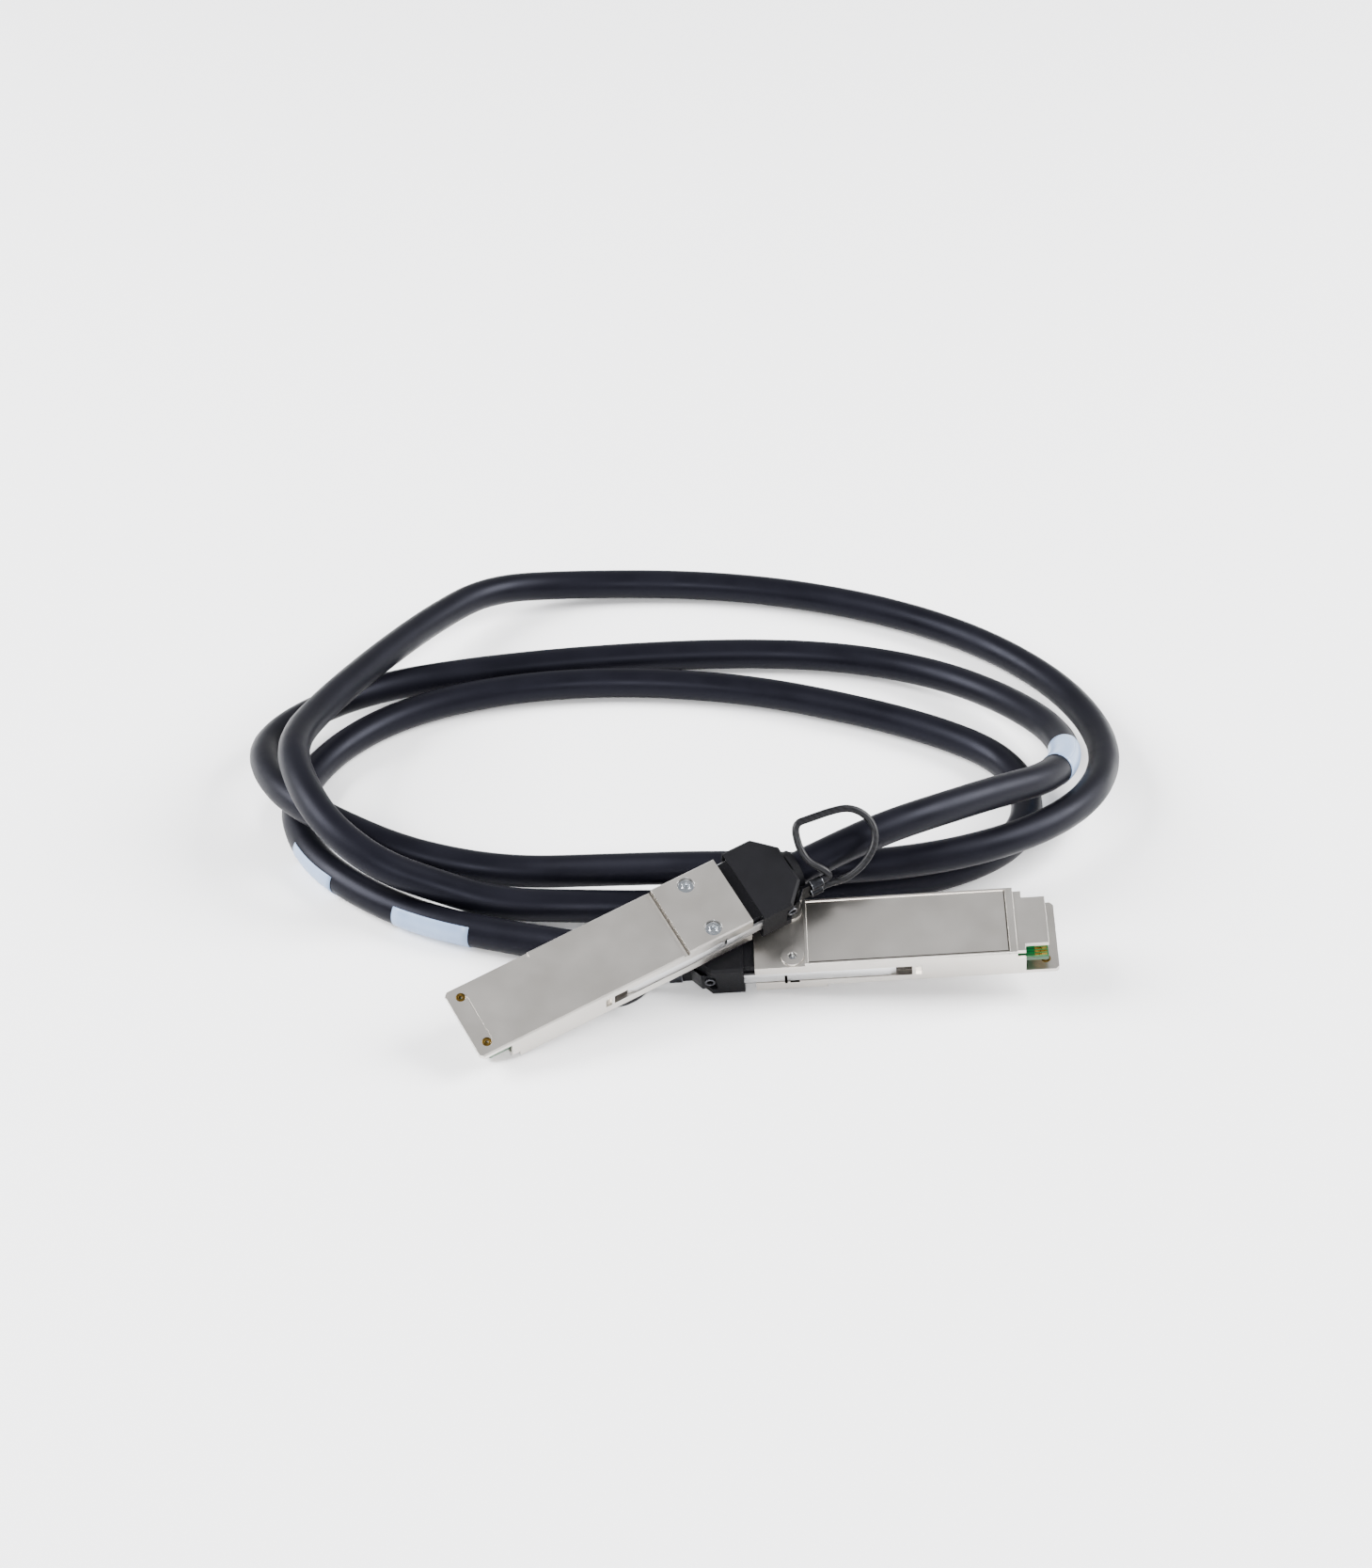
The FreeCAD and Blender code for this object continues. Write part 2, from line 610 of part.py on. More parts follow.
def ear_rivets(tag):
    """A rivet in each ear of the slide."""
    rivets = []
    for side, low, rise in ((1, ARM_IN, ARM_OUT), (-1, "-" + ARM_OUT, "-%s - rivet_head_height" % ARM_OUT)):
        shank = cylinder("rivet_radius", "slide_sheet", "-rivet_setback", low, "slide_centre", "y")
        head = cylinder("rivet_head_radius", "rivet_head_height", "-rivet_setback", rise, "slide_centre", "y")
        rivets.append(fused([shank, head]))
    return group(tag, "ear_rivets", rivets)


def lanyard_crimps(tag):
    """Two crimped sleeves on the tab, one for each end of the lanyard."""
    sleeves = []
    for side in SIDES:
        sleeves.append(tube("lanyard_radius + ferrule_fit + crimp_wall", "lanyard_radius + ferrule_fit",
                            "crimp_length", "-tab_rear - crimp_length", TAB_ACROSS,
                            "crimp_middle + %d * crimp_pitch / 2" % side, "x"))
    return group(tag, "lanyard_crimps", sleeves)


# Cord paths: straight runs joined by tangent arcs, each as large as its two runs allow.
def cord_edges(points, label):
    edges = []
    arcs = []
    start = points[0]
    for before, corner, after in zip(points, points[1:], points[2:]):
        inward = corner - before
        onward = after - corner
        turn = inward.getAngle(onward)
        reach = 0.45 * min(inward.Length, onward.Length)
        inward.normalize()
        onward.normalize()
        entry = corner - inward * reach
        leave = corner + onward * reach
        toward = (onward - inward).normalize()
        radius = reach / math.tan(turn / 2)
        middle = corner + toward * (radius / math.cos(turn / 2) - radius)
        edges.append(Part.LineSegment(start, entry).toShape())
        arcs.append((radius, Part.Arc(entry, middle, leave).toShape()))
        edges.append(arcs[-1][1])
        start = leave
    edges.append(Part.LineSegment(start, points[-1]).toShape())
    radii = [radius for radius, edge in arcs]
    print(label, "radii %.1f to %.1f mm:" % (min(radii), max(radii)), [round(radius) for radius in radii])
    return edges, [edge for radius, edge in arcs]


def round_sweep(edges, radius):
    """A round solid swept along the edges."""
    path = Part.Wire(edges)
    first = edges[0]
    tangent = first.tangentAt(first.FirstParameter)
    profile = Part.Wire(Part.makeCircle(radius, first.valueAt(first.FirstParameter), tangent))
    return path.makePipeShell([profile], True, False)


def cord_feature(name, shape, placement):
    """A document object for a swept shape; its place is set after its shape."""
    item = doc.addObject("Part::Feature", name)
    item.Label = name
    item.Shape = shape
    item.Placement = placement
    return item


# Lanyard routes in the plug's frame, hand-chosen, from one crimp round to the other.
# Plug a's loop stands up in front of the cable, and plug b's lies flat under plug a.
LANYARD_BENDS = {
    "a": [(-22.9, 5.7, 3.4), (-22.0, 4.0, 4.8), (-20.0, 1.4, 5.7), (-19.0, -2.2, 6.8), (-20.4, -5.4, 8.1),
          (-24.0, -5.6, 8.2), (-29.0, -5.1, 7.9), (-33.2, -4.0, 7.5), (-36.0, -1.2, 6.2), (-36.4, 2.4, 5.2),
          (-34.2, 5.6, 3.8), (-30.2, 7.6, 2.4), (-26.4, 7.9, 0.8), (-23.7, 7.1, -0.5)],
    "b": [(-26.0, 6.1, 1.4), (-30.8, 6.4, 0.9), (-35.4, 7.5, 0.3), (-38.2, 10.4, -0.9), (-37.0, 14.2, -2.2),
          (-32.8, 16.0, -2.9), (-28.2, 15.0, -2.7), (-25.0, 11.9, -2.1), (-23.4, 8.8, -1.4)],
}


def lanyard(tag, placement):
    seat = -(size("tab_rear") + size("ferrule_fit"))
    leave = -(size("tab_rear") + size("crimp_length") + size("lanyard_lead"))
    across = size("shell_width") / 2 - size("slide_inset") - size("tab_inset")
    high, low = [size("crimp_middle") + side * size("crimp_pitch") / 2 for side in SIDES]
    out = [FreeCAD.Vector(x, across, high) for x in (seat, leave)]
    bend = [FreeCAD.Vector(*point) for point in LANYARD_BENDS[tag]]
    back = [FreeCAD.Vector(x, across, low) for x in (leave, seat)]
    edges, arcs = cord_edges(out + bend + back, "plug_%s_lanyard" % tag)
    loop = round_sweep(edges, size("lanyard_radius"))
    return cord_feature("plug_%s_lanyard" % tag, loop, placement)


# The cable's route, hand-chosen from the picture: it leaves plug b and ends at plug a.
CABLE_BEND = [
    # The bottom loop lies on the table.
    (-36, -75.5, 4.2), (-60, -65, 4), (-78, -51.5, 4), (-91, -36.5, 4), (-97, -14, 4), (-90.5, 9, 4),
    (-74, 28, 4), (-48, 40, 4), (-17, 44, 4), (16, 40, 4), (43, 30, 4), (63, 20, 4), (78, 8.5, 4),
    (84.5, -5, 4), (84.8, -20, 4), (79, -33.5, 4), (67, -43.5, 4), (48, -51, 4), (22, -56.5, 4),
    (-4, -60.5, 4), (-27, -61, 4),
    # The middle loop climbs over the other two at the left and comes down at the back.
    (-44, -60, 6.5), (-58.5, -57, 10.8), (-72.5, -52.2, 15.8), (-85, -44.3, 20.8), (-94, -29.5, 22.8),
    (-96.5, -9, 21.5), (-93, 15, 18), (-84.5, 40, 14.8), (-72, 64, 9.5), (-54, 84, 5), (-29, 95, 4),
    (2, 96.5, 4), (33, 90.5, 4), (62, 78, 4), (85, 60, 4), (101, 35, 5), (107, 6, 7.5), (101, -20, 10.8),
    (86, -39.5, 13), (63, -52, 13.4), (35, -57.5, 13.4), (8, -56, 13.2), (-18, -50.5, 8.5),
    # The outer loop passes between them at the left, and rises at the right to plug a.
    (-43, -46, 4.5), (-66, -44.5, 8.6), (-84, -38, 13.1), (-97.5, -25.5, 13.1), (-105, -9, 11.5),
    (-106, 9.5, 9), (-98, 26.5, 6.6), (-80, 40, 4.8), (-54, 49.5, 4), (-22, 55.5, 4), (12, 58.5, 4),
    (40, 57, 4), (64, 47.5, 5), (81, 32, 7), (91, 13, 10), (93, -7, 14), (86, -25.5, 19.3), (73.5, -40, 23.7),
    (60.5, -50.8, 26.3), (48.8, -58.4, 27),
]
# Each wrap label covers the arc at one point of that list.
LABEL_POINTS = {"label_one": (93, -7, 14), "label_two": (-60, -65, 4), "label_three": (-91, -36.5, 4)}


COIL = FreeCAD.Vector(size("coil_x"), size("coil_y"), size("coil_z"))


def plug_placement(tag):
    place = COIL + FreeCAD.Vector(*[size("plug_%s_%s" % (tag, name)) for name in ("x", "y", "z")])
    turn = FreeCAD.Rotation(*[size("plug_%s_%s" % (tag, name)) for name in ("yaw", "pitch", "roll")])
    return FreeCAD.Placement(place, turn)


def cable_and_labels():
    taper = size("shell_width") / 2 + size("hood_overhang") - size("collar_radius")
    rear = size("neck_length") + size("hood_square") + taper + size("collar_length")
    ends = {}
    for tag in ("a", "b"):
        exits = [FreeCAD.Vector(-rear - step, 0, 0) for step in (0, size("cable_lead"))]
        ends[tag] = [plug_placement(tag).multVec(point) for point in exits]
    middle = [COIL + FreeCAD.Vector(*point) for point in CABLE_BEND]
    points = ends["b"] + middle + list(reversed(ends["a"]))
    edges, arcs = cord_edges(points, "cable")
    radius = size("cable_radius")
    jacket = round_sweep(edges, radius)
    length = sum(edge.Length for edge in edges)
    print("cable length %.0f mm, volume over section times length %.4f"
          % (length, jacket.Volume / (math.pi * radius ** 2 * length)))
    nodes = [cord_feature("cable_jacket", jacket, FreeCAD.Placement())]
    for name, point in LABEL_POINTS.items():
        arc = arcs[CABLE_BEND.index(point) + len(ends["b"]) - 1]
        bore = radius + size("label_gap")
        sleeve = round_sweep([arc], bore + size("label_film")).cut(round_sweep([arc], bore))
        nodes.append(cord_feature(name, sleeve, FreeCAD.Placement()))
    return nodes


MAKERS = (base_shell, lid_shell, paddle_card, contact_fingers, twinax_pairs, crimp_ferrule, backshell,
          latch_slide, return_spring, shell_screws, nose_eyelets, ear_rivets, lanyard_crimps)
nodes = []
for tag in ("a", "b"):
    placement = plug_placement(tag)
    for maker in MAKERS:
        node = maker(tag)
        node.Placement = placement
        nodes.append(node)
    nodes.append(lanyard(tag, placement))
nodes += cable_and_labels()
doc.recompute()

# Check every object, then write one file for each node.
for item in doc.Objects:
    if "Invalid" in item.State or "Error" in item.State:
        raise ValueError("failed: " + item.Name)
for node in nodes:
    if not node.Shape.isValid() or node.Shape.Volume <= 0:
        raise ValueError("bad solid: " + node.Label)
    node.Shape.exportStep("parts/%s.step" % node.Label)
print(len(nodes), "nodes written")
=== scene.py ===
import math

import bmesh
import bpy
from mathutils import Euler, Matrix, Vector


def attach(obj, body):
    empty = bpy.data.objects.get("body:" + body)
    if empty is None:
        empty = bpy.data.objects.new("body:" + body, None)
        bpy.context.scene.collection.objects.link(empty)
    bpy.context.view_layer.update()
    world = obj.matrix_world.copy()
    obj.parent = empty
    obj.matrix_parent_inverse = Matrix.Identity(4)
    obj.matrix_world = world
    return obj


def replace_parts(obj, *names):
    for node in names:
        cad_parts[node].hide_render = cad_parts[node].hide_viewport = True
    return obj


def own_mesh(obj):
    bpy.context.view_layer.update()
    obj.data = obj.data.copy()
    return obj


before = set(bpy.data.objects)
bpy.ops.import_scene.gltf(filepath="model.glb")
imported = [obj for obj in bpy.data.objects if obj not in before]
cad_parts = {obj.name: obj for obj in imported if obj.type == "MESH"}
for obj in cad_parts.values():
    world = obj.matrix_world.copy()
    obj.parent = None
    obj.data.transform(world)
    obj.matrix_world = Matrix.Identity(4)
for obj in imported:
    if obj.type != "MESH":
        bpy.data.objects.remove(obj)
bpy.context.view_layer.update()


# Paddle card: a thin glass-epoxy circuit board that carries the edge contacts into the socket.
# It is etched copper under green solder mask, and it shows at the open corner of each plug's nose.
mm = 0.001
# Each plug's place from the coil's middle in millimetres, and its turn in degrees.
plug_poses = {
    "a": ((10.55, -79.1, 19.7), (-23.15, 11.8, -152.6)),
    "b": ((15.7, -80.7, 8.3), (199.5, -4.7, -0.8)),
}
coil_middle = Vector((-15.704, 91.0, 0.224)) * mm
plug_frame = {}
for tag, (place, turn) in plug_poses.items():
    angles = Euler([math.radians(angle) for angle in turn], "XYZ")
    plug_frame[tag] = Matrix.Translation(coil_middle + Vector(place) * mm) @ angles.to_matrix().to_4x4()
card_ease = 0.05 * mm
trace_pitch = 0.8 * mm
weld = 0.002 * mm
flat_turn = math.radians(2)
sharp_turn = math.radians(30)


def linear(code):
    """A linear colour from an sRGB hex value."""
    parts = [int(code[k:k + 2], 16) / 255 for k in (1, 3, 5)]
    return (*[c / 12.92 if c <= 0.04045 else ((c + 0.055) / 1.055) ** 2.4 for c in parts], 1)


def add_node(tree, kind, settings=(), values=(), links=(), feeds=()):
    """A node of the tree with its settings, socket values, incoming links and the sockets it feeds."""
    node = tree.nodes.new(kind)
    for key, value in dict(settings).items():
        setattr(node, key, value)
    for key, value in dict(values).items():
        node.inputs[key].default_value = value
    for key, source in dict(links).items():
        tree.links.new(source, node.inputs[key])
    for key, target in dict(feeds).items():
        tree.links.new(node.outputs[key], target)
    return node


def new_material(name, **constants):
    """A material, its node tree and its shader, with the values that are the same all over it."""
    material = bpy.data.materials.new(name)
    material.use_nodes = True
    shader = material.node_tree.nodes["Principled BSDF"]
    for key, value in constants.items():
        shader.inputs[key.replace("_", " ")].default_value = value
    return material, material.node_tree, shader.inputs


def show(name, data, body):
    """An object in the scene that rides on a body."""
    item = bpy.data.objects.new(name, data)
    bpy.context.scene.collection.objects.link(item)
    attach(item, body)
    return item


def eased_copy(node, body, ease, rounds, materials, hollow=None):
    """A plug piece with joined flat faces, its hollows in the second material and its edges in the last."""
    back = plug_frame[node.split("_")[1]].inverted()
    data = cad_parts[node].data.copy()
    data.materials.clear()
    for material in materials:
        data.materials.append(material)
    mesh = bmesh.new()
    mesh.from_mesh(data)
    bmesh.ops.remove_doubles(mesh, verts=mesh.verts, dist=weld)
    bmesh.ops.dissolve_limit(mesh, angle_limit=flat_turn, verts=mesh.verts, edges=mesh.edges)
    for face in mesh.faces:
        turns = [edge.calc_face_angle(0) for edge in face.edges]
        face.smooth = any(flat_turn < turn < sharp_turn for turn in turns)
        face.material_index = 1 if hollow and hollow(back @ face.calc_center_median() / mm) else 0
    mesh.to_mesh(data)
    mesh.free()
    in_plug = data.attributes.new("in_plug", "FLOAT_VECTOR", "POINT")
    for entry, vertex in zip(in_plug.data, data.vertices):
        entry.vector = back @ vertex.co
    item = show(node + "_finished", data, body)
    edge = item.modifiers.new("eased_edges", "BEVEL")
    edge.width = ease
    edge.segments = rounds
    edge.limit_method = "ANGLE"
    edge.angle_limit = sharp_turn
    edge.material = len(materials) - 1
    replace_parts(item, node)
    return item


# Solder mask: glossy green lacquer, lighter over the copper traces that run along the card.
mask, tree, shader = new_material("green_solder_mask", Roughness=0.28)
along_card = add_node(tree, "ShaderNodeAttribute", {"attribute_name": "in_plug"})
traces = add_node(tree, "ShaderNodeTexWave", {"bands_direction": "Y"},
                  {"Scale": math.pi / (10 * trace_pitch), "Distortion": 0.6},
                  {"Vector": along_card.outputs["Vector"]})
add_node(tree, "ShaderNodeMix", {"data_type": "RGBA"}, {6: linear("#06361a"), 7: linear("#0d602e")},
         {"Factor": traces.outputs["Fac"]}, {2: shader["Base Color"]})
add_node(tree, "ShaderNodeBump", (), {"Strength": 0.3, "Distance": 0.04 * mm},
         {"Height": traces.outputs["Fac"]}, {"Normal": shader["Normal"]})
for tag in "ab":
    eased_copy("plug_%s_paddle_card" % tag, "cable_assembly", card_ease, 1, (mask,))


# Contact fingers: rows of thin copper pads at the card's front edge, on both of its faces.
# They are plated with nickel and then hard gold, and wiped a little by plugging in.

# Blender's noise keeps mostly within these two values.
noise_span = {"From Min": 0.3, "From Max": 0.7}


def mottled(name, patch, detail, tones, gloss, **constants):
    """A material with patches of a real size, between two tones and between two values of roughness."""
    material, tree, shader = new_material(name, **constants)
    place = add_node(tree, "ShaderNodeTexCoord")
    patches = add_node(tree, "ShaderNodeTexNoise", (), {"Scale": 1 / patch, "Detail": detail},
                       {"Vector": place.outputs["Object"]})
    add_node(tree, "ShaderNodeMix", {"data_type": "RGBA"}, {6: linear(tones[0]), 7: linear(tones[1])},
             {"Factor": patches.outputs["Fac"]}, {2: shader["Base Color"]})
    add_node(tree, "ShaderNodeMapRange", (), {**noise_span, "To Min": gloss[0], "To Max": gloss[1]},
             {"Value": patches.outputs["Fac"]}, {"Result": shader["Roughness"]})
    return material, tree, shader, patches.outputs["Fac"]


def dress(node, material):
    """Gives a CAD node that keeps its shape a material."""
    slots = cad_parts[node].data.materials
    slots.clear()
    slots.append(material)


# Hard gold flash: warm yellow metal, with a soft wipe of dull and bright.
gilt = mottled("hard_gold_flash", 0.9 * mm, 3, ("#a5762b", "#e0b965"), (0.22, 0.4), Metallic=1)[0]
for tag in "ab":
    dress("plug_%s_contact_fingers" % tag, gilt)


# Wire pairs and ferrule: insulated pairs run from the cable to the card, and a rolled sleeve
# is crimped over the braid where they leave the jacket. Both are shut inside the plug.
foil_pitch = 0.8 * mm

# Wire foil: silvered film wound aslant round each pair, brighter along one edge of every turn.
foil, tree, shader = new_material("silvered_wire_foil", Metallic=0.8)
place = add_node(tree, "ShaderNodeTexCoord")
turns = add_node(tree, "ShaderNodeTexWave", {"bands_direction": "DIAGONAL"},
                 {"Scale": math.pi / (10 * foil_pitch), "Distortion": 2}, {"Vector": place.outputs["Object"]})
add_node(tree, "ShaderNodeMix", {"data_type": "RGBA"}, {6: linear("#8d9096"), 7: linear("#b9bcc2")},
         {"Factor": turns.outputs["Fac"]}, {2: shader["Base Color"]})
add_node(tree, "ShaderNodeMapRange", (), {"To Min": 0.32, "To Max": 0.48},
         {"Value": turns.outputs["Fac"]}, {"Result": shader["Roughness"]})

# Rolled copper: red-brown metal with patches of tarnish.
rolled = mottled("rolled_copper_sleeve", 1.5 * mm, 2, ("#7a4c30", "#c08a63"), (0.38, 0.52), Metallic=1)[0]
for tag in "ab":
    dress("plug_%s_twinax_pairs" % tag, foil)
    dress("plug_%s_crimp_ferrule" % tag, rolled)


# The cable is a round bundle of screened wire pairs in an extruded black PVC jacket.
# It is stiff enough to keep the open loops in which it was laid down on the table.
cable_radius = 3.9 * mm
exit_setback = 16.5 * mm
lead_setback = 31.0 * mm
cable_exit = {tag: plug_frame[tag] @ Vector((-exit_setback, 0, 0)) for tag in "ab"}
cable_lead = {tag: plug_frame[tag] @ Vector((-lead_setback, 0, 0)) for tag in "ab"}
# Millimetres from the coil's middle, from plug b to plug a.
cable_route = [
    # The bottom loop lies on the table.
    (-36, -73.4, 4.2), (-60.3, -65.5, 4), (-78.5, -52.6, 4), (-91.6, -37, 4), (-98, -14, 4), (-90.5, 9, 4),
    (-74, 28, 4), (-48, 40, 4), (-17, 44, 4), (16, 40, 4), (43, 30, 4), (63, 20, 4), (78, 8.5, 4),
    (84.5, -5, 4), (84.8, -20, 4), (79, -33.5, 4), (67, -43.5, 4), (48, -51, 4), (22, -56.5, 4),
    (-4, -59.4, 4), (-27, -59.2, 4.1),
    # The middle loop climbs over the others at the left and comes down at the back.
    (-44, -60.9, 5.8), (-58.5, -59.2, 9.9), (-72.5, -58.2, 15.3), (-85.5, -48.2, 20.4), (-94, -30, 22.8),
    (-96.7, -13, 21.5), (-92, 8, 18), (-81, 36.5, 14.6), (-67.5, 65.5, 11), (-54.5, 84.5, 9), (-33, 94.5, 5),
    (2, 96.5, 4), (33, 90.5, 4), (62, 78, 4), (85, 60, 4), (101, 35, 5), (107, 6, 7.5), (101, -20, 10.8),
    (86, -39.5, 13), (63, -52, 13.4), (35, -57.5, 13.4), (8, -56, 13.2), (-18, -50.5, 8.5),
    # The outer loop passes between them at the left, and rises at the right to plug a.
    (-43, -46, 4.5), (-66, -44.5, 8.6), (-84, -38, 13.1), (-97.5, -25.5, 13.1), (-105, -9, 11.5),
    (-106, 6, 9), (-97.5, 24, 6.6), (-80, 40, 4.8), (-54, 49.5, 4), (-22, 55.5, 4), (12, 58.5, 4),
    (40, 57, 4), (64, 47.5, 5), (81, 32, 7), (92.8, 12, 10), (95.3, -8.5, 14), (88, -27, 19.3),
    (73.5, -40, 23.7), (60.5, -50.8, 26.3), (48.8, -58.4, 27),
]
cable_points = [cable_exit["b"], cable_lead["b"]]
cable_points += [coil_middle + Vector(point) * mm for point in cable_route]
cable_points += [cable_lead["a"], cable_exit["a"]]


def round_line(name, points, radius):
    """A round curve on one NURBS spline with the points as its control points."""
    curve = bpy.data.curves.new(name, "CURVE")
    curve.dimensions = "3D"
    spline = curve.splines.new("NURBS")
    spline.points.add(len(points) - 1)
    for control, point in zip(spline.points, points):
        control.co = (*point, 1)
    spline.order_u = 3
    spline.use_endpoint_u = True
    spline.resolution_u = 12
    curve.bevel_depth = radius
    curve.bevel_resolution = 8
    return curve


# Extruded PVC: blue-black and satin, with slow changes of gloss along it and a faint drawn skin.
pvc, tree, shader, _ = mottled("extruded_black_pvc", 14 * mm, 3, ("#050508", "#0c0c12"), (0.36, 0.5),
                               IOR=1.53, Specular_IOR_Level=0.11, Specular_Tint=linear("#cfd2ec"))
place = add_node(tree, "ShaderNodeTexCoord")
skin = add_node(tree, "ShaderNodeTexNoise", (), {"Scale": 1 / (0.9 * mm), "Detail": 2},
                {"Vector": place.outputs["Object"]})
add_node(tree, "ShaderNodeBump", (), {"Strength": 0.08, "Distance": 0.05 * mm},
         {"Height": skin.outputs["Fac"]}, {"Normal": shader["Normal"]})
cable_curve = round_line("cable_run", cable_points, cable_radius)
cable_curve.materials.append(pvc)
cable = show("cable_run", cable_curve, "cable_assembly")
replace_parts(cable, "cable_jacket")


# Wrap labels are strips of film stuck round the jacket, left bare here. Two of them stop short of meeting
# and the third is lapped over its own start. Each has its place on the cable, its length, the height in
# degrees at which its edge starts on the outer side, and the degrees through which it is wound.
label_gap = 0.03 * mm
label_wall = 0.08 * mm
lap_rise = 0.1 * mm
label_steps = 64
label_wraps = {
    "label_one": ((94, -12.5, 15.2), 15.0 * mm, 90, 398),
    "label_two": ((-60, -67, 4), 18.0 * mm, 44, 215),
    "label_three": ((-88.5, -42, 4), 15.5 * mm, 34, 215),
}


def line_of(cord_curve):
    """The points of a cord's own spline, without its thickness."""
    bare = cord_curve.copy()
    bare.bevel_depth = 0
    carrier = bpy.data.objects.new("bare_line", bare)
    bpy.context.scene.collection.objects.link(carrier)
    bpy.context.view_layer.update()
    mesh = bpy.data.meshes.new_from_object(carrier.evaluated_get(bpy.context.evaluated_depsgraph_get()))
    line = [vertex.co.copy() for vertex in mesh.vertices]
    bpy.data.meshes.remove(mesh)
    bpy.data.objects.remove(carrier)
    bpy.data.curves.remove(bare)
    return line


cable_line = line_of(cable_curve)

# Polyester film: cool bluish white, a little uneven where it was smoothed down, under a thin clear gloss.
film = mottled("polyester_label_film", 6 * mm, 2, ("#6b81a3", "#899ebc"), (0.3, 0.42),
               Coat_Weight=0.15, Coat_Roughness=0.2)[0]


def wrap_label(node):
    """A film wound round the cable's line where the node is, from its edge on the outer side downwards."""
    place, length, edge, sweep = label_wraps[node]
    centre = coil_middle + Vector(place) * mm
    middle = min(range(len(cable_line)), key=lambda k: (cable_line[k] - centre).length)
    start = end = middle
    while (cable_line[start] - cable_line[middle]).length < length / 2:
        start -= 1
    while (cable_line[end] - cable_line[middle]).length < length / 2:
        end += 1
    rows = cable_line[start:end + 1]
    mesh = bmesh.new()
    grid = []
    for k, point in enumerate(rows):
        ahead = (rows[min(k + 1, len(rows) - 1)] - rows[max(k - 1, 0)]).normalized()
        out = ahead.cross(Vector((0, 0, 1))).normalized()
        out *= math.copysign(1, out.dot(point - coil_middle))
        up = ahead.cross(out)
        up *= math.copysign(1, up.z)
        ring = []
        for step in range(label_steps + 1):
            wound = math.radians(sweep) * step / label_steps
            angle = math.radians(edge) - wound
            radius = cable_radius + label_gap + lap_rise * wound / (2 * math.pi)
            ring.append(mesh.verts.new(point + (out * math.cos(angle) + up * math.sin(angle)) * radius))
        grid.append(ring)
    for near, far in zip(grid, grid[1:]):
        for step in range(label_steps):
            mesh.faces.new((near[step], near[step + 1], far[step + 1], far[step])).smooth = True
    mesh.normal_update()
    first = next(iter(mesh.faces))
    if first.normal.dot(first.calc_center_median() - rows[0]) < 0:
        bmesh.ops.reverse_faces(mesh, faces=mesh.faces)
    data = bpy.data.meshes.new("wrap_" + node)
    mesh.to_mesh(data)
    mesh.free()
    data.materials.append(film)
    item = show("wrap_" + node, data, "cable_assembly")
    wall = item.modifiers.new("film", "SOLIDIFY")
    wall.thickness = label_wall
    wall.offset = 1
    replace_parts(item, node)
    return item


labels = [wrap_label(node) for node in label_wraps]


# Plug shells: a zinc base and lid, pressure die-cast, trimmed, then nickel plated.
# Their edges are eased a little, and rubbed bright where the plating has been handled.
shell_ease = 0.1 * mm
lid_ease = 0.03 * mm
panel_floor = -4.0 * mm
panel_side = 8.24 * mm
panel_front = 57.65 * mm
block_front = 16.53 * mm
groove_floor = 3.85 * mm
shade_width = 0.46 * mm
level_band = 0.03 * mm
# Reach of the latch pockets and of the side slots along x, y and z, in the plug's millimetres.
pocket_reach = ((31.9, 35.7), (7.5, 8.15), (-1.4, 2.7))
slot_reach = ((6.5, 10.1), (7.5, 9.1), (-0.4, 2.7))


# Faces inside these pockets and slots take the painted shade.
def deep_pocket(place):
    """Whether a point of the base, in the plug's millimetres, is inside a latch pocket or a side slot."""
    spot = (place.x, abs(place.y), place.z)
    return any(all(low < value < high for value, (low, high) in zip(spot, reach))
               for reach in (pocket_reach, slot_reach))


# Nickel plate: warm grey metal, satin from the casting skin, with a fine grain and faint cloudy patches.
# A line of painted shade shows in the corners of the lid's sunk panel and in front of the screw block.
nickel, tree, shader = new_material("nickel_plated_zinc", Metallic=1)
place = add_node(tree, "ShaderNodeTexCoord")
cloud = add_node(tree, "ShaderNodeTexNoise", (), {"Scale": 1 / (9 * mm), "Detail": 3},
                 {"Vector": place.outputs["Object"]})
grain = add_node(tree, "ShaderNodeTexNoise", (), {"Scale": 1 / (0.35 * mm), "Detail": 2},
                 {"Vector": place.outputs["Object"]})
plate = add_node(tree, "ShaderNodeMix", {"data_type": "RGBA"}, {6: linear("#c3beb7"), 7: linear("#d0ccc6")},
                 {"Factor": cloud.outputs["Fac"]})
in_plug = add_node(tree, "ShaderNodeAttribute", {"attribute_name": "in_plug"})
axes = add_node(tree, "ShaderNodeSeparateXYZ", (), (), {"Vector": in_plug.outputs["Vector"]})
shade_at = {}
for spot, axis, level, band in (
        ("panel_side", "Y", panel_side, shade_width / 2), ("panel_front", "X", panel_front, shade_width / 2),
        ("panel_floor", "Z", panel_floor, level_band), ("block_front", "X", block_front, shade_width / 2),
        ("groove_floor", "Z", groove_floor, level_band)):
    shade_at[spot] = add_node(tree, "ShaderNodeMath", {"operation": "COMPARE"}, {1: level, 2: band},
                              {0: axes.outputs[axis]}).outputs["Value"]
corner = add_node(tree, "ShaderNodeMath", {"operation": "MAXIMUM"}, (),
                  {0: shade_at["panel_side"], 1: shade_at["panel_front"]})
in_panel = add_node(tree, "ShaderNodeMath", {"operation": "MULTIPLY"}, (),
                    {0: corner.outputs["Value"], 1: shade_at["panel_floor"]})
in_groove = add_node(tree, "ShaderNodeMath", {"operation": "MULTIPLY"}, (),
                     {0: shade_at["block_front"], 1: shade_at["groove_floor"]})
